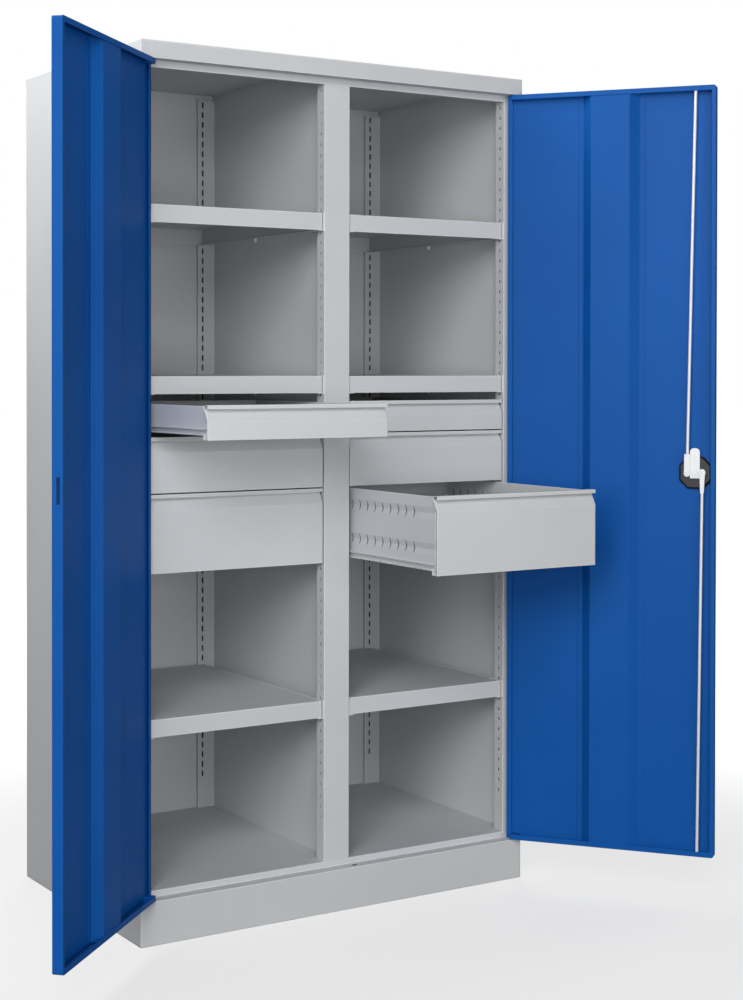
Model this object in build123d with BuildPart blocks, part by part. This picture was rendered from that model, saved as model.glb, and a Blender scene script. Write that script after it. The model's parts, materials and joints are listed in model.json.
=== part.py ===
from build123d import *
import os
from math import cos, hypot, radians, sin

os.makedirs("parts", exist_ok=True)

# Heavy-duty two-door storage cabinet in folded sheet steel, in millimetres.
# The origin is the middle of the plinth's front edge on the floor.
# The doors face -Y, +X is to the right of someone who faces them, and +Z is up.

# Carcass
cab_w = 1020.0  # outside width
cab_d = 650.0  # depth from the face of the header to the back
cab_h = 1950.0  # height over the roof
sheet = 1.0  # thickness of panels and frame
recess = 30.0  # depth that the doors close into
header_h = 38.0  # face over the doors
plinth_h = 95.0  # face under the doors
top_strip = 15.0  # frame strip below the header
bottom_strip = 14.0  # frame strip from the plinth up to the floor panel
return_w = 12.0  # short folded returns

# Uprights and slotted rails that carry the shelves
post_w = 32.0  # front face of a side upright
post_d = 34.0  # perforated face of an upright
centre_post_w = 67.0
hole_pitch = 25.0
hole_w = 5.0
hole_h = 7.0
hole_count = 68
hole_from_top = 13.0  # middle of the top hole below the opening's top
rail_w = 46.0
rail_d = 11.0  # the rail stands this far off the rear panel
rail_from_roof = 15.0
slot_w = 5.0
slot_h = 15.0
slot_count = 70
slot_from_top = 12.0  # middle of the top slot below the rail's top

# Shelves and their supports
shelf_tops = {"upper": 1602.0, "middle": 1228.0, "lower": 480.0}
shelf_fold = 39.0  # height of a shelf's folded edges
shelf_inset = 5.0  # front of a shelf behind the frame
shelf_rear_gap = 2.0
shelf_end_gap = 3.75  # between a shelf's end and the uprights' inner faces
support_t = 1.5
support_foot = 14.0
support_rise = 1.0  # the web stands this much above the shelf

# Drawers
drawers_top = 1170.0
drawer_heights = {"thin": 72.0, "medium": 122.0, "deep": 172.0}  # from the top down
drawer_gap = 3.0  # between fronts
drawer_inset = 2.0  # closed front behind the frame
drawer_out = {("left", "thin"): 274.0, ("right", "deep"): 357.0}  # how far some stand open
front_end_gap = 3.0  # between a front's ends and the uprights
front_d = 19.0  # depth of the folded front
lip_h = 8.0  # grip lip along the top
grip_d = 14.0  # how deep the fingers reach under the lip
grip_h = 26.0  # height of the slope under the lip
tray_l = 560.0
tray_side_gap = 11.75  # between a tray's side and the uprights
tray_rim_drop = 2.0  # rim below the top of the front
runner_from_low = 8.0  # runner above the bottom of the front
runner_h = 16.0
runner_t = 1.2
runner_tip_gap = 0.7  # between a runner's tips and the tray's side
rail_play = 0.3  # running gap over and under a tray's rail
rail_web_gap = 2.0  # between a tray's rail and the runner's web

# Doors: u runs from the hinge edge to the free edge, v from the outer face to the inside
door_side_gap = 1.5  # hinge edge inside the cabinet's side
door_middle_gap = 3.0  # between the shut doors
door_end_gap = 2.0  # over and under a door
door_t = 22.0
door_corner = 6.0  # radius at the free edge's ends
hem_w = 12.0  # hem folded inwards along the hinge edge
hem_d = 7.0
free_lip = 10.0
pivot_u = 16.5
pivot_v = 5.0
pin_d = 6.0
pin_play = 0.05  # radial gap between a pin and its bore
pin_reach = 5.0  # pin beyond the end of the door
pin_block_w = 19.0
stiffener_w = 137.0
stiffener_crown = 93.0
stiffener_u = 255.5
stiffener_end_gap = 3.0
stiffener_clear = 1.5  # crown below the door's inner plane
door_open = {"left": 136.3, "right": 127.5}  # degrees from shut

# Three-point lock in the right door
lock_z = 1001.0
lock_from_edge = 48.0
cutout = 60.0  # square hole in the door's skin
cutout_play = 0.5
housing_w = 76.0
housing_corner = 20.0
housing_d = 9.6
housing_bevel = 4.0
plate_w = 78.0
plate_t = 2.5
knob_d = 46.0
knob_h = 8.0
knob_gap = 0.3  # between the knob and the plate
grip_l = 70.0
grip_w = 20.0
grip_rise = 14.0
grip_corner = 6.0
key_core_d = 12.0
key_core_l = 10.0
key_core_rise = 1.0
key_l = 8.0
key_w = 1.8
key_depth = 4.0
spindle_d = 12.0
square_w = 8.0  # square end of the spindle
screw_across = 13.0
screw_h = 3.0
cam_t = 3.5
cam_gap = 0.4  # cam in front of the housing
stud_r = 18.0  # rod studs from the spindle
arm_w = 15.0
tongue_w = 23.0
tongue_up = 58.0
tongue_down = 13.0
tongue_round = 9.0
tongue_play = 1.5  # around the tongue in the doors' edges
tongue_sweep = 39.0  # the turning tongue passes an edge up to this far above the spindle
link_t = 4.0
link_gap = 0.4  # link in front of the cam
link_w = 14.0
link_tip_w = {"upper": 14.0, "lower": 8.0}
link_l = {"upper": 44.0, "lower": 48.0}
link_tail = 9.0
link_corner = 4.0
stud_d = 7.0
stud_rise = 1.6
rod_d = 7.0
rod_lean = {"upper": 18.0, "lower": 10.0}  # sideways run of a rod towards the door's end
rod_play = 0.4  # around a rod in the door's end
rod_inside = 1.0  # rod's tip inside the door's end
rod_keep_l = 16.0  # slots for the rods in the header and the plinth
rod_keep_w = 11.0

# Places that follow from the sizes
sides = {"left": -1, "right": 1}
inner_x = cab_w / 2 - sheet
header_z = cab_h - header_h
opening_top = header_z - top_strip
floor_z = plinth_h + bottom_strip
under_roof = cab_h - sheet
post_x = cab_w / 2 - post_w
half_post = centre_post_w / 2
bay_w = post_x - half_post
bay_x = (post_x + half_post) / 2
rail_y = cab_d - sheet - rail_d
rail_top = under_roof - rail_from_roof
holes_y = recess + post_d / 2
drawer_y = recess + drawer_inset
runner_y = drawer_y + front_d
door_l = cab_w / 2 - door_side_gap - door_middle_gap / 2
door_low = plinth_h + door_end_gap
door_high = header_z - door_end_gap
door_h = door_high - door_low
pivot_x = cab_w / 2 - door_side_gap - pivot_u
lock_u = door_l - lock_from_edge
cam_v = sheet + housing_d + cam_gap
link_v = cam_v + cam_t + link_gap
rod_v = link_v + link_t / 2
knob_v = -plate_t - knob_gap
grip_v = knob_v - knob_h
tongue_low = tongue_w / 2 + tongue_play
stud_u = {"upper": lock_u - stud_r, "lower": lock_u + stud_r}
exit_u = {"upper": stud_u["upper"] + rod_lean["upper"], "lower": stud_u["lower"] - rod_lean["lower"]}
rod_end_z = {"upper": door_high - rod_inside, "lower": door_low + rod_inside}


# Helpers


def folded(points, thickness, side=Side.LEFT):
    """Section of a folded sheet: a path through the points, thickened to one side."""
    with BuildSketch() as section:
        with BuildLine():
            Polyline(*points)
            offset(amount=thickness, side=side, kind=Kind.INTERSECTION)
        make_face()
    return section.sketch_local


def span(low, high):
    """Draw a rectangle between two corners of the current sketch."""
    with Locations(((low[0] + high[0]) / 2, (low[1] + high[1]) / 2)):
        Rectangle(abs(high[0] - low[0]), abs(high[1] - low[1]))


def across(x):
    """Plane square to X: its x is world Y and its y is world Z."""
    return Plane(origin=(x, 0, 0), x_dir=(0, 1, 0), z_dir=(1, 0, 0))


def facing(y):
    """Plane square to Y, seen from the front: its x is world X and its y is world Z."""
    return Plane(origin=(0, y, 0), x_dir=(1, 0, 0), z_dir=(0, -1, 0))


def keep(part, name):
    """Label a finished piece and write its file."""
    part.label = name
    export_step(part, f"parts/{name}.step")


# Outer panels

for name, side in sides.items():
    with BuildPart() as side_panel:
        with BuildSketch(across(side * cab_w / 2)):
            span((recess, 0), (cab_d, cab_h))
            span((0, 0), (recess, plinth_h))
            span((0, header_z), (recess, cab_h))
        extrude(amount=-side * sheet)
    keep(side_panel.part, f"side_panel_{name}")

with BuildPart() as rear_panel:
    with BuildSketch(facing(cab_d)):
        span((-inner_x, 0), (inner_x, under_roof))
    extrude(amount=sheet)
keep(rear_panel.part, "rear_panel")

with BuildPart() as roof_panel:
    with BuildSketch(Plane.XY.offset(under_roof)):
        span((-inner_x, 0), (inner_x, cab_d))
    extrude(amount=sheet)
keep(roof_panel.part, "roof_panel")

with BuildPart() as floor_panel:
    with BuildSketch(Plane.XY.offset(floor_z)):
        span((-inner_x, recess + sheet), (inner_x, cab_d - sheet))
    extrude(amount=-sheet)
keep(floor_panel.part, "floor_panel")

with BuildPart() as partition:
    with BuildSketch(across(-sheet / 2)):
        span((recess + sheet, floor_z), (cab_d - sheet, opening_top))
        span((recess + return_w, opening_top), (cab_d - sheet, under_roof))
    extrude(amount=sheet)
keep(partition.part, "partition")


# Header and plinth, with the bores for the door pins and the slots for the right door's rods


def ledge_holes(rod):
    """Draw a ledge's two pin bores and its rod slot."""
    with Locations((-pivot_x, pivot_v), (pivot_x, pivot_v)):
        Circle(pin_d / 2 + pin_play)
    with Locations((cab_w / 2 - door_side_gap - exit_u[rod], rod_v)):
        Rectangle(rod_keep_l, rod_keep_w)


header_face = [(return_w, under_roof), (0, under_roof), (0, header_z), (recess + sheet, header_z)]
header_strip = [(recess, header_z + sheet), (recess, opening_top), (recess + return_w, opening_top)]
plinth_face = [(return_w, 0), (0, 0), (0, plinth_h), (recess, plinth_h), (recess, floor_z)]

with BuildPart() as header:
    with BuildSketch(across(-inner_x)):
        add(folded(header_face, sheet))
    extrude(amount=2 * inner_x)
    with BuildSketch(across(-post_x)):
        add(folded(header_strip, sheet))
    extrude(amount=2 * post_x)
    with BuildSketch(Plane.XY.offset(header_z)):
        ledge_holes("upper")
    extrude(amount=2 * sheet, mode=Mode.SUBTRACT)
keep(header.part, "header")

with BuildPart() as plinth:
    with BuildSketch(across(-inner_x)):
        add(folded(plinth_face, sheet, Side.RIGHT))
    extrude(amount=2 * inner_x)
    with BuildSketch(Plane.XY.offset(plinth_h)):
        ledge_holes("lower")
    extrude(amount=-2 * sheet, mode=Mode.SUBTRACT)
keep(plinth.part, "plinth")


# Uprights with their hole columns


def hole_column(middle, top, count, width, height):
    """Draw a column of equal holes from the top one down."""
    with Locations((middle, top - hole_pitch * (count - 1) / 2)):
        with GridLocations(hole_pitch, hole_pitch, 1, count):
            Rectangle(width, height)


def upright_holes():
    """Draw the holes of one upright face."""
    hole_column(holes_y, opening_top - hole_from_top, hole_count, hole_w, hole_h)


for name, side in sides.items():
    upright_path = [
        (side * inner_x, recess),
        (side * post_x, recess),
        (side * post_x, recess + post_d),
        (side * (post_x + return_w), recess + post_d),
    ]
    with BuildPart() as front_upright:
        with BuildSketch(Plane.XY.offset(floor_z)):
            add(folded(upright_path, sheet, Side.RIGHT if side > 0 else Side.LEFT))
        extrude(amount=header_z - floor_z)
        with BuildSketch(across(side * post_x)):
            upright_holes()
        extrude(amount=2 * side * sheet, mode=Mode.SUBTRACT)
    keep(front_upright.part, f"front_upright_{name}")

post_path = [
    (-half_post, recess + post_d),
    (-half_post, recess),
    (half_post, recess),
    (half_post, recess + post_d),
]

with BuildPart() as centre_post:
    with BuildSketch(Plane.XY.offset(floor_z)):
        add(folded(post_path, sheet))
    extrude(amount=opening_top - floor_z)
    for side in sides.values():
        with BuildSketch(across(side * half_post)):
            upright_holes()
        extrude(amount=-2 * side * sheet, mode=Mode.SUBTRACT)
keep(centre_post.part, "centre_post")


# Slotted rails: the wall each starts from, its way into the bay, and the place of its slots

inner_slots = half_post + support_t / 2
outer_slots = post_x - support_t / 2
rear_rails = {
    "left_outer": (-inner_x, 1, -outer_slots),
    "left_inner": (-sheet / 2, -1, -inner_slots),
    "right_inner": (sheet / 2, 1, inner_slots),
    "right_outer": (inner_x, -1, outer_slots),
}

for name, (wall_x, into_bay, slots_x) in rear_rails.items():
    far_x = wall_x + into_bay * rail_w
    rail_path = [
        (wall_x, cab_d - sheet),
        (wall_x, rail_y),
        (far_x, rail_y),
        (far_x, cab_d - sheet),
    ]
    with BuildPart() as rear_rail:
        with BuildSketch(Plane.XY.offset(floor_z)):
            add(folded(rail_path, sheet, Side.LEFT if into_bay > 0 else Side.RIGHT))
        extrude(amount=rail_top - floor_z)
        with BuildSketch(facing(rail_y)):
            hole_column(slots_x, rail_top - slot_from_top, slot_count, slot_w, slot_h)
        extrude(amount=-2 * sheet, mode=Mode.SUBTRACT)
    keep(rear_rail.part, f"rear_rail_{name}")


# Shelves


def shelf(side, top):
    """Shelf with all four edges folded down and a return under the front one."""
    left = side * bay_x - bay_w / 2 + shelf_end_gap
    right = side * bay_x + bay_w / 2 - shelf_end_gap
    near = recess + shelf_inset
    with BuildPart() as tray:
        with BuildSketch(Plane.XY.offset(top - shelf_fold)):
            span((left, near), (right, rail_y - shelf_rear_gap))
        extrude(amount=shelf_fold)
        offset(amount=-sheet, openings=tray.faces().sort_by(Axis.Z)[0])
        with BuildSketch(Plane.XY.offset(top - shelf_fold)):
            span((left, near), (right, near + return_w))
        extrude(amount=sheet)
    return tray.part


for name, side in sides.items():
    for level, top in shelf_tops.items():
        keep(shelf(side, top), f"shelf_{name}_{level}")


# Shelf supports and drawer runners, from the front uprights back to the slotted rails


def support(side, end, top):
    """Angle under one end of a shelf."""
    web_x = side * bay_x + end * bay_w / 2
    foot_z = top - shelf_fold - support_t
    path = [(web_x, top + support_rise), (web_x, foot_z), (web_x - end * support_foot, foot_z)]
    with BuildPart() as angle:
        with BuildSketch(facing(drawer_y)):
            add(folded(path, support_t, Side.RIGHT if end > 0 else Side.LEFT))
        extrude(amount=drawer_y - rail_y)
    return angle.part


def runner(side, end, low):
    """Channel that one rail of a drawer runs in."""
    web_x = side * bay_x + end * bay_w / 2
    tip_x = web_x - end * (tray_side_gap - runner_tip_gap)
    path = [(tip_x, low + runner_h), (web_x, low + runner_h), (web_x, low), (tip_x, low)]
    with BuildPart() as channel:
        with BuildSketch(facing(runner_y)):
            add(folded(path, runner_t, Side.RIGHT if end > 0 else Side.LEFT))
        extrude(amount=runner_y - rail_y)
    return channel.part


drawer_lows = {}
next_top = drawers_top
for size, height in drawer_heights.items():
    drawer_lows[size] = next_top - height
    next_top = drawer_lows[size] - drawer_gap

for name, side in sides.items():
    supports = [support(side, end, top) for top in shelf_tops.values() for end in (-1, 1)]
    keep(Compound(children=supports), f"shelf_supports_{name}")
    lows = [low + runner_from_low for low in drawer_lows.values()]
    runners = [runner(side, end, low) for low in lows for end in (-1, 1)]
    keep(Compound(children=runners), f"drawer_runners_{name}")


# Drawers


def drawer_front(side, y, low, height):
    """Folded front: face, slope behind the grip, lip, top plate and the returns behind."""
    half_w = bay_w / 2 - front_end_gap
    top = low + height
    lip_z = top - lip_h
    path = [
        (y + front_d, low + return_w),
        (y + front_d, low),
        (y, low),
        (y, lip_z - grip_h),
        (y + grip_d, lip_z),
        (y, lip_z),
        (y, top),
        (y + front_d, top),
        (y + front_d, top - return_w),
    ]
    with BuildPart() as front:
        with BuildSketch(across(side * bay_x - half_w)):
            add(folded(path, sheet, Side.RIGHT))
        extrude(amount=2 * half_w)
    return front.part


def drawer_tray(side, y, low, height):
    """Open tray with the pair of flanges on each side that run in the channels."""
    middle = side * bay_x
    half_w = bay_w / 2 - tray_side_gap
    reach = bay_w / 2 - runner_t - rail_web_gap
    rail_low = low + runner_from_low + runner_t + rail_play
    rail_high = low + runner_from_low + runner_h - runner_t - rail_play
    near = y + front_d
    with BuildPart() as tray:
        with BuildSketch(Plane.XY.offset(rail_low)):
            span((middle - half_w, near), (middle + half_w, near + tray_l))
        extrude(amount=low + height - tray_rim_drop - rail_low)
        offset(amount=-sheet, openings=tray.faces().sort_by(Axis.Z)[-1])
        with BuildSketch(facing(near)):
            for end in (-1, 1):
                inside = middle + end * (half_w - sheet)
                tip = middle + end * reach
                span((inside, rail_low), (tip, rail_low + sheet))
                span((inside, rail_high - sheet), (tip, rail_high))
        extrude(amount=-tray_l)
    return tray.part


for name, side in sides.items():
    for size, height in drawer_heights.items():
        y = drawer_y - drawer_out.get((name, size), 0)
        low = drawer_lows[size]
        keep(drawer_front(side, y, low, height), f"drawer_front_{name}_{size}")
        keep(drawer_tray(side, y, low, height), f"drawer_tray_{name}_{size}")


# Doors, drawn on planes that turn with them about their pivots


def along_door(side):
    """World direction of a door's own x axis as the door stands open."""
    angle = radians(door_open["left" if side < 0 else "right"])
    return Vector(cos(angle), side * sin(angle), 0)


def door_plan(side, z):
    """Level plane on a door's pivot: x along the door, y towards its inside."""
    return Plane(origin=(side * pivot_x, pivot_v, z), x_dir=along_door(side), z_dir=(0, 0, 1))


def door_face(side, v):
    """Upright plane in a door at depth v: x along the door, y up, z outwards."""
    outward = along_door(side).cross(Vector(0, 0, 1))
    origin = Vector(side * pivot_x, pivot_v, 0) - outward * (v - pivot_v)
    return Plane(origin=origin, x_dir=along_door(side), z_dir=outward)


def door_x(side, u):
    """A door plane's x at distance u from the hinge edge."""
    return side * (pivot_u - u)


def door_span(side, u, v):
    """Draw a rectangle in a door's plan from two values of u and two of v."""
    span((door_x(side, u[0]), v[0] - pivot_v), (door_x(side, u[1]), v[1] - pivot_v))


def door_outline(side, inset):
    """Outline of a door, set in from its ends and its free edge, with round corners there."""
    with BuildSketch() as outline:
        span((door_x(side, 0), door_low + inset), (door_x(side, door_l - inset), door_high - inset))
        free_corners = outline.vertices().group_by(Axis.X)[0 if side > 0 else -1]
        fillet(free_corners, radius=door_corner - inset)
    return outline.sketch_local


def door_pan(side):
    """Door sheet: deep flanges with lips on three edges, and a shallow hem along the hinge edge."""
    lip_low = (door_x(side, hem_w), door_low + return_w)
    lip_high = (door_x(side, door_l - free_lip), door_high - return_w)
    with BuildPart() as pan:
        with BuildSketch(door_face(side, 0)):
            add(door_outline(side, 0))
        extrude(amount=-door_t)
        with BuildSketch(door_face(side, sheet)):
            add(door_outline(side, sheet))
        extrude(amount=2 * sheet - door_t, mode=Mode.SUBTRACT)
        with BuildSketch(door_face(side, door_t - sheet)):
            span(lip_low, lip_high)
        extrude(amount=-sheet, mode=Mode.SUBTRACT)
        with BuildSketch(door_plan(side, door_low)):
            door_span(side, (0, hem_w), (sheet, door_t))
        extrude(amount=door_h, mode=Mode.SUBTRACT)
        with BuildSketch(door_plan(side, door_low)):
            door_span(side, (0, sheet), (0, hem_d))
            door_span(side, (0, hem_w), (hem_d - sheet, hem_d))
        extrude(amount=door_h)
        for end_z, inward in ((door_low, 1), (door_high, -1)):
            with BuildSketch(door_plan(side, end_z)):
                Circle(pin_d / 2 + pin_play)
            extrude(amount=inward * sheet, mode=Mode.SUBTRACT)
    return pan.part


def tongue_slot(side):
    """Draw the slot in a door's free edge that the turning tongue passes through."""
    depths = (cam_v - tongue_play, cam_v + cam_t + tongue_play)
    door_span(side, (door_l - 2 * sheet, door_l + sheet), depths)


def stiffener(side):
    """Hat profile on the inside of a door."""
    middle = door_x(side, stiffener_u)
    foot = 2 * sheet - pivot_v
    crown = door_t - stiffener_clear - pivot_v
    path = [
        (middle - stiffener_w / 2 - return_w, foot),
        (middle - stiffener_w / 2, foot),
        (middle - stiffener_crown / 2, crown),
        (middle + stiffener_crown / 2, crown),
        (middle + stiffener_w / 2, foot),
        (middle + stiffener_w / 2 + return_w, foot),
    ]
    with BuildPart() as hat:
        with BuildSketch(door_plan(side, door_low + stiffener_end_gap)):
            add(folded(path, sheet, Side.RIGHT))
        extrude(amount=door_h - 2 * stiffener_end_gap)
    return hat.part


def pivot(side, end_z, inward):
    """Block in a door's corner and the pin that it carries out through the door's end."""
    with BuildPart() as block:
        with BuildSketch(door_plan(side, end_z + inward * sheet)):
            door_span(side, (hem_w, hem_w + pin_block_w), (sheet, door_t - sheet))
        extrude(amount=inward * (return_w - sheet))
        with BuildSketch(door_plan(side, end_z + inward * sheet)):
            Circle(pin_d / 2)
        extrude(amount=-inward * (sheet + pin_reach))
    return block.part


with BuildPart() as door_left:
    add(door_pan(-1))
    with BuildSketch(door_plan(-1, lock_z - tongue_low)):
        tongue_slot(-1)
    extrude(amount=tongue_low + tongue_sweep, mode=Mode.SUBTRACT)
keep(door_left.part, "door_left")

with BuildPart() as door_right:
    add(door_pan(1))
    with BuildSketch(door_plan(1, lock_z - tongue_low)):
        tongue_slot(1)
    extrude(amount=tongue_low + tongue_sweep, mode=Mode.SUBTRACT)
    with BuildSketch(door_face(1, 0)):
        with Locations((door_x(1, lock_u), lock_z)):
            Rectangle(cutout, cutout)
    extrude(amount=-2 * sheet, mode=Mode.SUBTRACT)
    reach = rod_d / 2 + rod_play
    for rod, end_z in (("lower", door_low), ("upper", door_high)):
        with BuildSketch(door_plan(1, end_z)):
            door_span(1, (exit_u[rod] - reach, exit_u[rod] + reach), (rod_v - reach, rod_v + reach))
        extrude(amount=2 * sheet, both=True, mode=Mode.SUBTRACT)
keep(door_right.part, "door_right")

for name, side in sides.items():
    keep(stiffener(side), f"door_stiffener_{name}")
    pivots = [pivot(side, door_low, 1), pivot(side, door_high, -1)]
    keep(Compound(children=pivots), f"door_pivots_{name}")


# Lock: plate and knob outside the door, housing and cam inside, a rod to each end of the door

lock_at = (door_x(1, lock_u), lock_z)
inwards = Axis((0, 0, 0), -door_face(1, 0).z_dir)
spindle_bore = spindle_d / 2 + pin_play

with BuildPart() as lock_housing:
    with BuildSketch(door_face(1, sheet)) as housing_outline:
        with Locations(lock_at):
            Rectangle(housing_w, housing_w)
        chamfer(housing_outline.vertices(), length=housing_corner)
    extrude(amount=-housing_d)
    chamfer(lock_housing.faces().sort_by(inwards)[-1].edges(), length=housing_bevel)
    with BuildSketch(door_face(1, sheet)):
        with Locations(lock_at):
            Rectangle(cutout - cutout_play, cutout - cutout_play)
    extrude(amount=sheet)
    with BuildSketch(door_face(1, 0)):
        with Locations(lock_at):
            Circle(spindle_bore)
    extrude(amount=-door_t, mode=Mode.SUBTRACT)
keep(lock_housing.part, "lock_housing")

with BuildPart() as lock_plate:
    with BuildSketch(door_face(1, 0)) as plate_outline:
        with Locations(lock_at):
            Rectangle(plate_w, plate_w)
        chamfer(plate_outline.vertices(), length=housing_corner)
        with Locations(lock_at):
            Circle(spindle_bore, mode=Mode.SUBTRACT)
    extrude(amount=plate_t)
keep(lock_plate.part, "lock_plate")

with BuildPart() as lock_knob:
    with BuildSketch(door_face(1, knob_v)):
        with Locations(lock_at):
            Circle(knob_d / 2)
    extrude(amount=knob_h)
    with BuildSketch(door_face(1, grip_v)) as grip_outline:
        with Locations(lock_at):
            Rectangle(grip_w, grip_l)
        chamfer(grip_outline.vertices(), length=grip_corner)
    extrude(amount=grip_rise)
    with BuildSketch(door_face(1, grip_v - grip_rise)):
        with Locations(lock_at):
            Circle(key_core_d / 2 + pin_play)
    extrude(amount=-key_core_l, mode=Mode.SUBTRACT)
keep(lock_knob.part, "lock_knob")

with BuildPart() as key_core:
    with BuildSketch(door_face(1, grip_v - grip_rise + key_core_l)):
        with Locations(lock_at):
            Circle(key_core_d / 2)
    extrude(amount=key_core_l + key_core_rise)
    with BuildSketch(door_face(1, grip_v - grip_rise - key_core_rise)):
        with Locations(lock_at):
            Rectangle(key_w, key_l)
    extrude(amount=-key_depth, mode=Mode.SUBTRACT)
keep(key_core.part, "key_core")

with BuildPart() as lock_spindle:
    with BuildSketch(door_face(1, knob_v)):
        with Locations(lock_at):
            Circle(spindle_d / 2)
    extrude(amount=knob_v - cam_v)
    with BuildSketch(door_face(1, cam_v)):
        with Locations(lock_at):
            Rectangle(square_w, square_w)
    extrude(amount=-cam_t)
keep(lock_spindle.part, "lock_spindle")

with BuildPart() as lock_cam:
    with BuildSketch(door_face(1, cam_v)) as cam_outline:
        with Locations((lock_at[0], lock_z + (tongue_up - tongue_down) / 2)):
            Rectangle(tongue_w, tongue_up + tongue_down)
        fillet(cam_outline.vertices().group_by(Axis.Y)[-1], radius=tongue_round)
        with Locations(lock_at):
            SlotCenterToCenter(2 * stud_r, arm_w)
            Rectangle(square_w, square_w, mode=Mode.SUBTRACT)
    extrude(amount=-cam_t)
keep(lock_cam.part, "lock_cam")

with BuildPart() as cam_screw:
    with BuildSketch(door_face(1, cam_v + cam_t)):
        with Locations(lock_at):
            RegularPolygon(screw_across / 2, 6, major_radius=False)
    extrude(amount=-screw_h)
keep(cam_screw.part, "cam_screw")


def rod_plane(rod, v):
    """Plane in the door at depth v: its origin on a rod's stud, its y along the rod."""
    face = door_face(1, v)
    stud = face.from_local_coords(Vector(door_x(1, stud_u[rod]), lock_z, 0))
    tip = face.from_local_coords(Vector(door_x(1, exit_u[rod]), rod_end_z[rod], 0))
    return Plane(origin=stud, x_dir=(tip - stud).cross(face.z_dir), z_dir=face.z_dir)


for rod, end_z in rod_end_z.items():
    tail_w = link_w / 2
    tip_w = link_tip_w[rod] / 2
    reach = link_l[rod]
    with BuildPart() as link:
        with BuildSketch(rod_plane(rod, link_v)) as link_outline:
            with BuildLine():
                Polyline((-tail_w, -link_tail), (tail_w, -link_tail), (tip_w, reach), (-tip_w, reach), close=True)
            make_face()
            chamfer(link_outline.vertices().group_by(Axis.Y)[0], length=link_corner)
        extrude(amount=-link_t)
        with BuildSketch(rod_plane(rod, link_v + link_t)):
            Circle(stud_d / 2)
        extrude(amount=-stud_rise)
    keep(link.part, f"rod_link_{rod}")
    middle = rod_plane(rod, rod_v)
    start = middle.from_local_coords(Vector(0, reach, 0))
    with BuildPart() as lock_rod:
        with BuildSketch(Plane(origin=start, z_dir=middle.y_dir)):
            Circle(rod_d / 2)
        extrude(amount=hypot(rod_lean[rod], end_z - lock_z) - reach)
    keep(lock_rod.part, f"lock_rod_{rod}")
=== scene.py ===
import json
from math import cos, radians, sin

import bpy
import numpy as np
from mathutils import Matrix, Vector


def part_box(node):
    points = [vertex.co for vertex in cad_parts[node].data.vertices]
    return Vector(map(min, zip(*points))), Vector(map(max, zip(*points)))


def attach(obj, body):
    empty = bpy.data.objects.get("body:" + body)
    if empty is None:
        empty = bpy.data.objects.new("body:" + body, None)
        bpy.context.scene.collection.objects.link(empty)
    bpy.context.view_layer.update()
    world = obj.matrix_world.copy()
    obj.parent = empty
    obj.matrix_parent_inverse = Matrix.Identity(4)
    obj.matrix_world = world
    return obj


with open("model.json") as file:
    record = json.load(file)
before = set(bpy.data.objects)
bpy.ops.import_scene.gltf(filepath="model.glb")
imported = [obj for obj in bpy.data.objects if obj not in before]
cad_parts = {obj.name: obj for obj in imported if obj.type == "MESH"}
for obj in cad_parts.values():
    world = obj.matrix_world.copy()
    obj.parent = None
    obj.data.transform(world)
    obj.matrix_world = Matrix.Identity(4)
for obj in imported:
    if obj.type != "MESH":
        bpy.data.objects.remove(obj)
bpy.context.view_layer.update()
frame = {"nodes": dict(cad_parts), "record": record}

# Dressing of a sheet-steel storage cabinet. Lengths are in metres, in the part's own frame:
# the origin is the middle of the plinth's front edge on the floor, -Y is the front, +Z is up.

nodes = frame["nodes"]
both_sides = ("left", "right")

# Slits and pressed bands in the sides of the deep trays
sheet = 0.001
half_sheet = sheet / 2
tray_flange = 0.00855  # a tray's flanges beyond its side
rim_drop = 0.002  # a tray's rim under the top of its front
slit_rows = (0.039, 0.117)  # under the top of a deep drawer's front
slit_first = 0.087  # first slit behind the front
slit_pitch = 0.032
slit_count = 15
slit_height = 0.025
slit_width = 0.0042
slit_bulge = 0.0065
slit_proud = 0.0003
slit_rings = 8
slit_around = 6
band_depth = 0.0030

# Bolts under the shelves' supports
support_foot_t = 0.0015
bolt_inset = 0.007  # a support's bolt from the end of the shelf's bay
bolt_y = 0.346
bolt_r = 0.0045
bolt_drop = 0.010
bolt_rings = 5
bolt_around = 10

# Grain and wear of the finishes: noise scales per metre, depths and radii in metres
paint_corner = 0.003
paint_peel = 620.0
paint_peel_depth = 0.000035
paint_scuffs = 12.0
metal_corner = 0.0006
metal_flakes = 420.0
metal_drawn = 900.0
plastic_corner = 0.0008
plastic_scuffs = 60.0
plastic_grain = 2600.0
fine_relief = 0.00003


# Node trees


def put(tree, kind, settings=None, **inputs):
    """Add a node, with its settings, and its inputs given as values or as other nodes' outputs."""
    made = tree.nodes.new(kind)
    for key, value in (settings or {}).items():
        setattr(made, key, value)
    for key, value in inputs.items():
        slot = made.inputs[int(key[1:])] if key[1:].isdigit() else made.inputs[key.replace("_", " ")]
        if isinstance(value, bpy.types.NodeSocket):
            tree.links.new(value, slot)
        else:
            slot.default_value = value
    return made


def new_group(name, inputs, outputs):
    """Start a shared effect: its tree, the node its inputs arrive at and the one its outputs leave by."""
    tree = bpy.data.node_groups.new(name, "ShaderNodeTree")
    for label, kind, value in inputs:
        socket = tree.interface.new_socket(label, in_out="INPUT", socket_type="NodeSocket" + kind)
        if value is not None:
            socket.default_value = value
    for label, kind in outputs:
        tree.interface.new_socket(label, in_out="OUTPUT", socket_type="NodeSocket" + kind)
    return tree, tree.nodes.new("NodeGroupInput"), tree.nodes.new("NodeGroupOutput")


def reckon(tree, operation, *values, clamp=False):
    """One sum of two or three values."""
    settings = {"operation": operation, "use_clamp": clamp}
    return put(tree, "ShaderNodeMath", settings, **{f"_{i}": v for i, v in enumerate(values)}).outputs[0]


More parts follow.
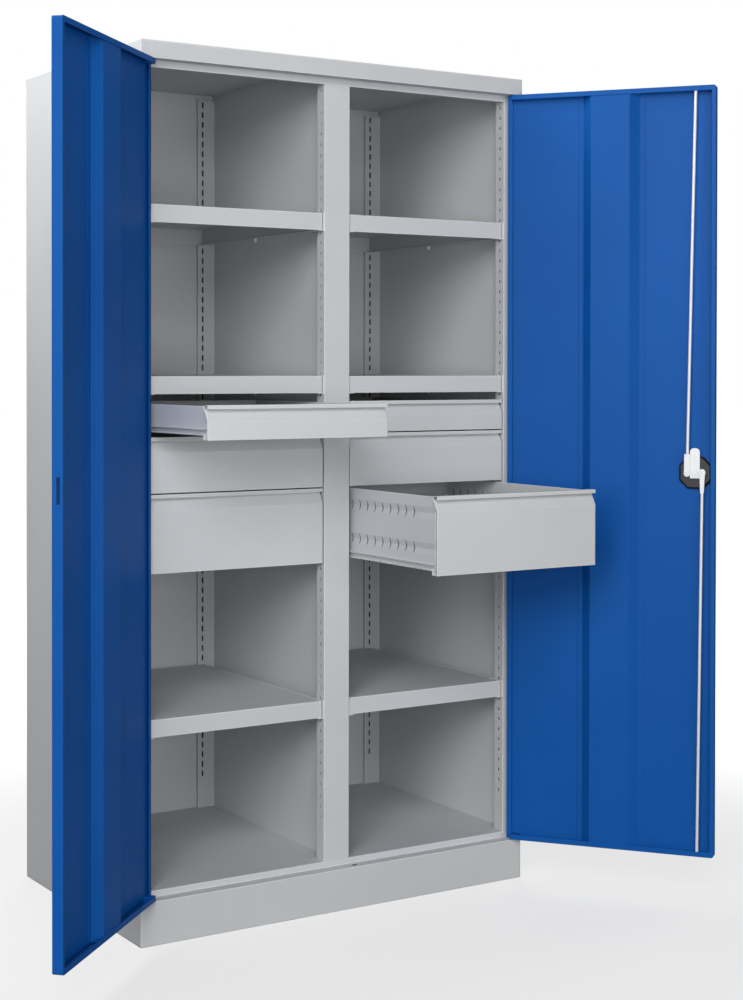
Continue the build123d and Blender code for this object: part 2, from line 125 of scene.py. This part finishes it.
def blend_colour(tree, share, first, second):
    """Mix two colours by a share."""
    settings = {"data_type": "RGBA", "clamp_factor": True}
    return put(tree, "ShaderNodeMix", settings, _0=share, _6=first, _7=second).outputs[2]


def remap(tree, value, low, high, to_low=0.0, to_high=1.0):
    """Carry a value from one range to another, smoothly and held at the ends."""
    settings = {"interpolation_type": "SMOOTHSTEP"}
    made = put(tree, "ShaderNodeMapRange", settings, _0=value, _1=low, _2=high, _3=to_low, _4=to_high)
    return made.outputs[0]


def noise(tree, place, scale, detail=2.0, roughness=0.5, stretch=None):
    """Noise over the surface, stretched if three factors are given."""
    if stretch:
        place = put(tree, "ShaderNodeVectorMath", {"operation": "MULTIPLY"}, _0=place, _1=stretch).outputs[0]
    made = put(
        tree, "ShaderNodeTexNoise", None, Vector=place, Scale=scale, Detail=detail, Roughness=roughness
    )
    return made.outputs["Fac"]


def folded_edges():
    """Rounded edges: the normal bent round each edge within the radius, and a mask of those edges."""
    tree, enter, leave = new_group(
        "folded_edges", [("Radius", "Float", 0.001)], [("Edge", "Float"), ("Normal", "Vector")]
    )
    rounded = put(tree, "ShaderNodeBevel", {"samples": 6}, Radius=enter.outputs["Radius"]).outputs[0]
    flat = put(tree, "ShaderNodeNewGeometry").outputs["Normal"]
    same = put(tree, "ShaderNodeVectorMath", {"operation": "DOT_PRODUCT"}, _0=rounded, _1=flat)
    bend = reckon(tree, "SUBTRACT", 1.0, same.outputs["Value"])
    tree.links.new(remap(tree, bend, 0.004, 0.12), leave.inputs["Edge"])
    tree.links.new(rounded, leave.inputs["Normal"])
    return tree


def powder_film():
    """Baked powder paint: the peel of its surface as a normal, its cloudy tone and its fine grain."""
    tree, enter, leave = new_group(
        "powder_film",
        [("Peel", "Float", 700.0), ("Depth", "Float", 0.00004), ("Normal", "Vector", None)],
        [("Cloud", "Float"), ("Grain", "Float"), ("Normal", "Vector")],
    )
    place = put(tree, "ShaderNodeTexCoord").outputs["Object"]
    cloud = noise(tree, place, 3.1, 3.0, 0.55)
    grain = noise(tree, place, enter.outputs["Peel"], 2.0, 0.6)
    peel = put(
        tree, "ShaderNodeBump", None, Strength=1.0, Distance=enter.outputs["Depth"], Height=grain,
        Normal=enter.outputs["Normal"],
    )
    tree.links.new(cloud, leave.inputs["Cloud"])
    tree.links.new(grain, leave.inputs["Grain"])
    tree.links.new(peel.outputs[0], leave.inputs["Normal"])
    return tree


def handling():
    """Marks of use: long faint scuffs that run level, and a film of dust on what faces up."""
    tree, enter, leave = new_group(
        "handling", [("Scale", "Float", 14.0)], [("Scuff", "Float"), ("Dust", "Float")]
    )
    place = put(tree, "ShaderNodeTexCoord").outputs["Object"]
    fine = noise(tree, place, enter.outputs["Scale"], 4.0, 0.65, (1.0, 1.0, 9.0))
    patches = noise(tree, place, 2.3, 1.0)
    scuff = reckon(tree, "MULTIPLY", remap(tree, fine, 0.60, 0.74), remap(tree, patches, 0.45, 0.65))
    normal = put(tree, "ShaderNodeNewGeometry").outputs["Normal"]
    upward = put(tree, "ShaderNodeSeparateXYZ", None, _0=normal).outputs["Z"]
    settled = remap(tree, noise(tree, place, 9.0, 5.0, 0.6), 0.25, 0.8)
    dust = reckon(tree, "MULTIPLY", remap(tree, upward, 0.6, 1.0), settled)
    tree.links.new(scuff, leave.inputs["Scuff"])
    tree.links.new(dust, leave.inputs["Dust"])
    return tree


def pressed_bands():
    """Two level grooves: the relief rises from 0 at a band's middle to 1 at half its height away."""
    tree, enter, leave = new_group(
        "pressed_bands",
        [("Upper", "Float", 1.0), ("Lower", "Float", 0.9), ("Half", "Float", 0.013)],
        [("Relief", "Float")],
    )
    place = put(tree, "ShaderNodeTexCoord").outputs["Object"]
    level = put(tree, "ShaderNodeSeparateXYZ", None, _0=place).outputs["Z"]
    shares = []
    for row in ("Upper", "Lower"):
        away = reckon(tree, "ABSOLUTE", reckon(tree, "SUBTRACT", level, enter.outputs[row]))
        shares.append(reckon(tree, "DIVIDE", away, enter.outputs["Half"], clamp=True))
    tree.links.new(reckon(tree, "MULTIPLY", *shares), leave.inputs["Relief"])
    return tree


def closed_hollow():
    """The inside of a closed section.

    It is 1 between two distances from the middle plane and between two depths, up to a top, and 0 elsewhere.
    """
    tree, enter, leave = new_group(
        "closed_hollow",
        [(label, "Float", 0.0) for label in ("Inner", "Outer", "Front", "Rear", "Top")],
        [("Inside", "Float")],
    )
    place = put(tree, "ShaderNodeSeparateXYZ", None, _0=put(tree, "ShaderNodeTexCoord").outputs["Object"])
    across = reckon(tree, "ABSOLUTE", place.outputs["X"])
    inside = reckon(tree, "GREATER_THAN", across, enter.outputs["Inner"])
    limits = (
        reckon(tree, "LESS_THAN", across, enter.outputs["Outer"]),
        reckon(tree, "GREATER_THAN", place.outputs["Y"], enter.outputs["Front"]),
        reckon(tree, "LESS_THAN", place.outputs["Y"], enter.outputs["Rear"]),
        reckon(tree, "LESS_THAN", place.outputs["Z"], enter.outputs["Top"]),
    )
    for limit in limits:
        inside = reckon(tree, "MULTIPLY", inside, limit)
    tree.links.new(inside, leave.inputs["Inside"])
    return tree


edges = folded_edges()
film = powder_film()
marks = handling()
bands = pressed_bands()
hollow = closed_hollow()


# Materials


def new_material(name):
    """An empty material with its shader."""
    made = bpy.data.materials.new(name)
    made.use_nodes = True
    tree = made.node_tree
    tree.nodes.clear()
    shader = tree.nodes.new("ShaderNodeBsdfPrincipled")
    leave = tree.nodes.new("ShaderNodeOutputMaterial")
    tree.links.new(shader.outputs[0], leave.inputs["Surface"])
    return made, tree, shader


def place_group(tree, group, **inputs):
    """Put a shared effect into a material with its own values."""
    return put(tree, "ShaderNodeGroup", {"node_tree": group}, **inputs).outputs


def rgb(*values):
    """Colour with full opacity."""
    return (*values, 1.0)


dust_tone = rgb(0.55, 0.54, 0.52)
# Dark tone of the painted shade inside closed sections
hollow_shade_tone = rgb(0.07, 0.07, 0.075)
worn_zinc = rgb(0.9, 0.9, 0.9)


def powder_paint(name, base, pale, edge, rough, edge_highlight=0.5, dusty=0.10, shine=0.30, grooves=None, hollows=()):
    """Powder-coated sheet: cloudy tone, peel, painted edge highlights, scuffs, dust, pressed grooves,
    painted shade in hollows.
    """
    made, tree, shader = new_material(name)
    corner = place_group(tree, edges, Radius=paint_corner)
    under = corner["Normal"]
    if grooves:
        upper, lower = grooves
        relief = place_group(tree, bands, Upper=upper, Lower=lower, Half=slit_height / 2)["Relief"]
        pressed = put(
            tree, "ShaderNodeBump", None, Strength=1.0, Distance=band_depth, Height=relief, Normal=under
        )
        under = pressed.outputs[0]
    coat = place_group(tree, film, Peel=paint_peel, Depth=paint_peel_depth, Normal=under)
    used = place_group(tree, marks, Scale=paint_scuffs)
    tone = blend_colour(tree, remap(tree, coat["Cloud"], 0.3, 0.7), base, pale)
    tone = blend_colour(tree, reckon(tree, "MULTIPLY", coat["Grain"], 0.12), tone, pale)
    # Painted highlight: the folded edges turn paler, standing for the light that their bends catch
    tone = blend_colour(tree, reckon(tree, "MULTIPLY", corner["Edge"], edge_highlight), tone, edge)
    tone = blend_colour(tree, reckon(tree, "MULTIPLY", used["Scuff"], 0.10), tone, edge)
    tone = blend_colour(tree, reckon(tree, "MULTIPLY", used["Dust"], dusty), tone, dust_tone)
    # Painted shade: the insides of closed sections turn dark, standing for the shade that falls in them
    for inner, outer, front, rear, top in hollows:
        inside = place_group(tree, hollow, Inner=inner, Outer=outer, Front=front, Rear=rear, Top=top)
        tone = blend_colour(tree, inside["Inside"], tone, hollow_shade_tone)
    tree.links.new(tone, shader.inputs["Base Color"])
    gloss = reckon(tree, "MULTIPLY_ADD", coat["Cloud"], 0.10, rough - 0.05)
    gloss = reckon(tree, "MULTIPLY_ADD", used["Dust"], 0.15, gloss, clamp=True)
    tree.links.new(gloss, shader.inputs["Roughness"])
    tree.links.new(coat["Normal"], shader.inputs["Normal"])
    shader.inputs["Specular IOR Level"].default_value = shine
    return made


def plated_steel(name, base, dark, rough, metallic=1.0):
    """Zinc-plated steel: spangle of small flakes, drawn lines and brighter worn edges."""
    made, tree, shader = new_material(name)
    corner = place_group(tree, edges, Radius=metal_corner)
    place = put(tree, "ShaderNodeTexCoord").outputs["Object"]
    flakes = put(tree, "ShaderNodeTexVoronoi", None, Vector=place, Scale=metal_flakes).outputs["Color"]
    flake = put(tree, "ShaderNodeSeparateColor", None, _0=flakes).outputs[0]
    drawn = noise(tree, place, metal_drawn, 2.0, 0.5, (1.0, 1.0, 0.03))
    share = reckon(tree, "MULTIPLY_ADD", drawn, 0.35, reckon(tree, "MULTIPLY", flake, 0.35))
    tone = blend_colour(tree, share, base, dark)
    tone = blend_colour(tree, reckon(tree, "MULTIPLY", corner["Edge"], 0.5), tone, worn_zinc)
    tree.links.new(tone, shader.inputs["Base Color"])
    tree.links.new(reckon(tree, "MULTIPLY_ADD", drawn, 0.2, rough - 0.1), shader.inputs["Roughness"])
    bump = put(
        tree, "ShaderNodeBump", None, Strength=0.5, Distance=fine_relief, Height=drawn,
        Normal=corner["Normal"],
    )
    tree.links.new(bump.outputs[0], shader.inputs["Normal"])
    shader.inputs["Metallic"].default_value = metallic
    return made


def moulded_plastic(name, base, pale, rough):
    """Moulded plastic: fine spark-eroded grain, greyer edges and faint handling marks."""
    made, tree, shader = new_material(name)
    corner = place_group(tree, edges, Radius=plastic_corner)
    place = put(tree, "ShaderNodeTexCoord").outputs["Object"]
    used = place_group(tree, marks, Scale=plastic_scuffs)
    eroded = noise(tree, place, plastic_grain, 2.0, 0.6)
    tone = blend_colour(tree, reckon(tree, "MULTIPLY", eroded, 0.5), base, pale)
    tone = blend_colour(tree, reckon(tree, "MULTIPLY", corner["Edge"], 0.4), tone, pale)
    tone = blend_colour(tree, reckon(tree, "MULTIPLY", used["Scuff"], 0.3), tone, pale)
    tree.links.new(tone, shader.inputs["Base Color"])
    tree.links.new(reckon(tree, "MULTIPLY_ADD", eroded, 0.15, rough - 0.08), shader.inputs["Roughness"])
    bump = put(
        tree, "ShaderNodeBump", None, Strength=0.6, Distance=fine_relief, Height=eroded,
        Normal=corner["Normal"],
    )
    tree.links.new(bump.outputs[0], shader.inputs["Normal"])
    return made


# Grey paint: its colour, its paler clouds, its edge colour (painted highlight on the folded edges, and
# scuffs), its roughness and the strength of its painted edge highlight
grey = (rgb(0.56, 0.575, 0.590), rgb(0.585, 0.60, 0.61), rgb(0.95, 0.95, 0.93), 0.50, 0.85)
grey_paint = powder_paint("grey_paint", *grey)
deep_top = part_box("drawer_tray_right_deep")[1][2] + rim_drop
grooved_paint = powder_paint("grooved_paint", *grey, grooves=[deep_top - row for row in slit_rows])

# Painted shade: the insides of the rails, the centre post and the uprights, half a sheet in from their outer
# faces, are painted dark to stand for the shade inside these closed sections
rail_low, rail_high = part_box("rear_rail_right_inner")
outer_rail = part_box("rear_rail_right_outer")[0][0]
post_low, post_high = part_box("centre_post")
upright_low, upright_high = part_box("front_upright_right")
carcass_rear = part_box("rear_panel")[1][1]
rear_inside = carcass_rear - half_sheet
post_rear = post_high[1] - half_sheet
rail_front = rail_low[1] + half_sheet
post_front = post_low[1] + half_sheet
upright_outer = upright_high[0] + half_sheet
from_middle = -1.0  # no inner limit
hollow_shade_paint = powder_paint(
    "hollow_shade_paint", *grey, hollows=[
        (from_middle, rail_high[0] - half_sheet, rail_front, rear_inside, rail_high[2]),
        (outer_rail + half_sheet, upright_outer, rail_front, rear_inside, rail_high[2]),
        (from_middle, post_high[0] - half_sheet, post_front, post_rear, post_high[2]),
        (upright_low[0] + half_sheet, upright_outer, post_front, post_rear, upright_high[2]),
    ]
)
slit_shadow = powder_paint(
    "slit_shadow", rgb(0.10, 0.105, 0.11), rgb(0.13, 0.135, 0.14), rgb(0.2, 0.2, 0.2), 0.7
)
blue_paint = powder_paint(
    "blue_paint", rgb(0.001, 0.080, 0.335), rgb(0.002, 0.090, 0.37), rgb(0.02, 0.16, 0.50), 0.50,
    edge_highlight=0.35, dusty=0.02, shine=0.16,
)
zinc = plated_steel("zinc", rgb(0.66, 0.67, 0.69), rgb(0.45, 0.46, 0.48), 0.38)
pale_zinc = plated_steel("pale_zinc", rgb(0.80, 0.81, 0.82), rgb(0.66, 0.67, 0.69), 0.42, metallic=0.15)
key_metal = plated_steel("key_metal", rgb(0.80, 0.79, 0.76), rgb(0.60, 0.59, 0.56), 0.22)
black_plastic = moulded_plastic("black_plastic", rgb(0.004, 0.004, 0.005), rgb(0.020, 0.020, 0.024), 0.38)

# The material of each of the record's slots
slot_material = {
    "grey_paint": grey_paint,
    "blue_paint": blue_paint,
    "zinc": zinc,
    "white_steel": pale_zinc,
    "black_plastic": black_plastic,
    "key_metal": key_metal,
}


def dress(piece, material):
    """Give a piece one material."""
    piece.data.materials.clear()
    piece.data.materials.append(material)


for entry in frame["record"]["subparts"]:
    dress(nodes[entry["node"]], slot_material[entry["material_slot"]])
for side in both_sides:
    dress(nodes[f"drawer_tray_{side}_deep"], grooved_paint)
    for name in ("side_panel", "front_upright"):
        dress(nodes[f"{name}_{side}"], hollow_shade_paint)
    for place in ("outer", "inner"):
        dress(nodes[f"rear_rail_{side}_{place}"], hollow_shade_paint)
for name in ("centre_post", "partition", "rear_panel"):
    dress(nodes[name], hollow_shade_paint)


# Pieces that the scene adds


def closed_skin(rings, low_pole, high_pole):
    """Points and faces of a closed surface: a grid of rings by points around, with a pole at each end."""
    ring_count, around, _ = rings.shape
    points = np.concatenate([rings.reshape(-1, 3), [low_pole, high_pole]])
    index = np.arange(ring_count * around).reshape(ring_count, around)
    beside = np.roll(index, -1, axis=1)
    walls = np.stack([index[:-1], beside[:-1], beside[1:], index[1:]], axis=-1).reshape(-1, 4)
    low, high = len(points) - 2, len(points) - 1
    low_fan = np.stack([beside[0], index[0], np.full(around, low)], axis=-1)
    high_fan = np.stack([index[-1], beside[-1], np.full(around, high)], axis=-1)
    return points, [walls, low_fan, high_fan]


def repeated(name, skin, places, material, body):
    """One piece of equal closed skins: the skin's points plus each place, and its faces counted on."""
    points, face_sets = skin
    spread = (points[None] + np.asarray(places)[:, None]).reshape(-1, 3)
    starts = np.arange(len(places)) * len(points)
    faces = []
    for face_set in face_sets:
        copies = face_set[None] + starts[:, None, None]
        faces.extend(copies.reshape(-1, face_set.shape[1]).tolist())
    mesh = bpy.data.meshes.new(name)
    mesh.from_pydata(spread.tolist(), [], faces)
    mesh.polygons.foreach_set("use_smooth", np.ones(len(mesh.polygons), bool))
    piece = bpy.data.objects.new(name, mesh)
    bpy.context.scene.collection.objects.link(piece)
    dress(piece, material)
    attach(piece, body)


def slit_skin():
    """Crescent slit pressed through a tray's side.

    For s from -1 to 1 up the slit and t round it, with taper = sqrt(1 - s * s):
    x = (half sheet + proud) * (2 * sin t, held between -1 and 1),
    y = -bulge * (1 - s * s) + half width * taper * cos t, and z = half height * s.
    The rings are sines of even steps that stop 6 percent short of the tips, which are the poles.
    """
    s = np.sin(np.linspace(-0.5, 0.5, slit_rings) * np.pi * 0.94)[:, None]
    t = (np.arange(slit_around)[None] + 0.5) * 2 * np.pi / slit_around
    taper = np.sqrt(1.0 - s * s)
    x = (half_sheet + slit_proud) * np.clip(2.0 * np.sin(t), -1.0, 1.0) + 0.0 * s
    y = -slit_bulge * (1.0 - s * s) + slit_width / 2 * taper * np.cos(t)
    z = slit_height / 2 * s + 0.0 * t
    rings = np.stack([x, y, z], axis=-1)[:, ::-1]
    return closed_skin(rings, (0.0, 0.0, -slit_height / 2), (0.0, 0.0, slit_height / 2))


def bolt_skin():
    """Domed bolt head that hangs from a support's foot.

    For s from 0 to 0.9 down the head and t round it: r = radius * cos(0.5 pi s) ** 0.4 and z = -drop * s.
    The low pole is at the full drop, and the high pole is under the foot.
    """
    s = np.linspace(0.9, 0.0, bolt_rings)[:, None]
    t = np.arange(bolt_around)[None] * 2 * np.pi / bolt_around
    r = bolt_r * np.cos(0.5 * np.pi * s) ** 0.4
    rings = np.stack([r * np.cos(t), r * np.sin(t), -bolt_drop * s + 0.0 * t], axis=-1)
    return closed_skin(rings, (0.0, 0.0, -bolt_drop), (0.0, 0.0, 0.0))


for side in both_sides:
    low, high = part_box(f"drawer_tray_{side}_deep")
    walls_x = (low[0] + tray_flange + half_sheet, high[0] - tray_flange - half_sheet)
    slit_places = [
        (x, low[1] + slit_first + slit_pitch * k, deep_top - row)
        for x in walls_x for row in slit_rows for k in range(slit_count)
    ]
    repeated(f"tray_slits_{side}", slit_skin(), slit_places, slit_shadow, f"drawer_{side}_deep")
    bay_low, bay_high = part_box(f"shelf_supports_{side}")
    bolts_x = (bay_low[0] + bolt_inset, bay_high[0] - bolt_inset)
    levels = [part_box(f"shelf_{side}_{level}")[0][2] for level in ("upper", "middle", "lower")]
    bolt_places = [(x, bolt_y, level - support_foot_t) for x in bolts_x for level in levels]
    repeated(f"support_bolts_{side}", bolt_skin(), bolt_places, pale_zinc, "carcass")


# Floor: pale and matt, and glowing for the camera alone, from grey by the cabinet to white far off

floor_reach = 40.0
floor_z = -0.0005
glow_near, glow_far, glow_least = 1.0, 2.8, 0.66
floor_corners = [(-1, -1), (1, -1), (1, 1), (-1, 1)]
floor_mesh = bpy.data.meshes.new("floor")
floor_points = [(floor_reach * x, floor_reach * y, floor_z) for x, y in floor_corners]
floor_mesh.from_pydata(floor_points, [], [(0, 1, 2, 3)])
floor = bpy.data.objects.new("floor", floor_mesh)
bpy.context.scene.collection.objects.link(floor)
floor_paint, floor_tree, floor_shader = new_material("floor_paint")
floor_place = put(floor_tree, "ShaderNodeTexCoord").outputs["Object"]
floor_tone = blend_colour(
    floor_tree, noise(floor_tree, floor_place, 1.3), rgb(0.19, 0.19, 0.19), rgb(0.21, 0.21, 0.21)
)
away = put(floor_tree, "ShaderNodeVectorMath", {"operation": "LENGTH"}, _0=floor_place).outputs["Value"]
whiteness = remap(floor_tree, away, glow_near, glow_far, glow_least, 1.0)

# It doesn't glow under the cabinet, where it would show through the slot in the plinth
under_cabinet = place_group(
    floor_tree, hollow, Inner=from_middle, Outer=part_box("side_panel_right")[1][0],
    Front=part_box("plinth")[0][1], Rear=carcass_rear, Top=1.0,
)["Inside"]
seen = put(floor_tree, "ShaderNodeLightPath").outputs["Is Camera Ray"]
open_floor = reckon(floor_tree, "SUBTRACT", seen, under_cabinet, clamp=True)
glow_share = reckon(floor_tree, "MULTIPLY", whiteness, open_floor)
glow = blend_colour(floor_tree, glow_share, rgb(0.0, 0.0, 0.0), rgb(1.0, 1.0, 1.0))
floor_tree.links.new(floor_tone, floor_shader.inputs["Base Color"])
floor_tree.links.new(glow, floor_shader.inputs["Emission Color"])
floor_shader.inputs["Emission Strength"].default_value = 1.0
floor_shader.inputs["Roughness"].default_value = 0.9
dress(floor, floor_paint)


# Studio lamps


def aimed(place, target):
    """Matrix of a lamp at a place, its -Z towards the target."""
    back = (Vector(place) - Vector(target)).normalized()
    turn = back.to_track_quat("Z", "Y").to_matrix().to_4x4()
    return Matrix.Translation(place) @ turn


def soft_box(name, place, target, width, height, watts, mirrored=True):
    """Rectangular studio lamp, mirrored in glossy paint or not."""
    data = bpy.data.lights.new(name, "AREA")
    data.shape = "RECTANGLE"
    data.size, data.size_y = width, height
    data.energy = watts
    lamp = bpy.data.objects.new(name, data)
    bpy.context.scene.collection.objects.link(lamp)
    lamp.matrix_world = aimed(place, target)
    lamp.visible_glossy = mirrored


soft_box("key_light", (-3.2, -4.2, 3.6), (0.0, 0.2, 1.1), 3.0, 3.0, 188.0)
soft_box("front_light", (-0.4, -5.0, 1.1), (0.0, 0.2, 1.1), 5.0, 1.4, 86.0)
soft_box("left_light", (-3.9, -2.9, 1.7), (0.2, -0.1, 1.0), 2.0, 2.0, 55.0)
soft_box("side_light", (-1.35, 0.75, 3.05), (-0.5, 0.35, 1.75), 1.2, 1.2, 41.0)
soft_box("back_light", (2.2, 5.0, 3.0), (0.0, 0.6, 1.0), 2.6, 2.6, 150.0, mirrored=False)
soft_box("right_light", (5.0, 1.0, 2.4), (0.0, 0.5, 1.0), 2.4, 2.4, 90.0, mirrored=False)
soft_box("roof_light", (0.0, 1.2, 5.0), (0.0, 0.4, 1.9), 2.6, 2.6, 30.0, mirrored=False)

# The world lights the room a little, and is plain white where the camera looks past the floor
room_light = 0.05
world = bpy.data.worlds.new("studio")
world.use_nodes = True
world_tree = world.node_tree
world_tree.nodes.clear()
seen = put(world_tree, "ShaderNodeLightPath").outputs["Is Camera Ray"]
strength = put(world_tree, "ShaderNodeMapRange", None, _0=seen, _3=room_light, _4=1.0).outputs[0]
sky = put(world_tree, "ShaderNodeBackground", None, Color=rgb(1.0, 1.0, 1.0), Strength=strength)
world_out = world_tree.nodes.new("ShaderNodeOutputWorld")
world_tree.links.new(sky.outputs[0], world_out.inputs["Surface"])
bpy.context.scene.world = world
bpy.context.scene.view_settings.view_transform = "Standard"

# The photograph's camera: its place, its turn, and its principal point off the middle of 743 by 1000 pixels
frame_w, frame_h = 743.0, 1000.0
focal = 1802.0  # in pixels
centre_x, centre_y = 368.6, 388.8
camera_at = Vector((-2.168, -3.516, 1.248))
yaw, pitch, roll = radians(-32.45), radians(-0.68), radians(0.08)
level_right = Vector((cos(yaw), sin(yaw), 0.0))
level_ahead = Vector((-sin(yaw), cos(yaw), 0.0))
world_up = Vector((0.0, 0.0, 1.0))
ahead = level_ahead * cos(pitch) + world_up * sin(pitch)
over = world_up * cos(pitch) - level_ahead * sin(pitch)
right = level_right * cos(roll) + over * sin(roll)
up = over * cos(roll) - level_right * sin(roll)

camera_data = bpy.data.cameras.new("camera")
camera_data.sensor_width = 36.0
camera_data.lens = focal / frame_h * camera_data.sensor_width
camera_data.shift_x = (frame_w / 2 - centre_x) / frame_h
camera_data.shift_y = (centre_y - frame_h / 2) / frame_h
camera = bpy.data.objects.new("camera", camera_data)
bpy.context.scene.collection.objects.link(camera)
turn = Matrix((right, up, -ahead)).transposed().to_4x4()
camera.matrix_world = Matrix.Translation(camera_at) @ turn
bpy.context.scene.camera = camera
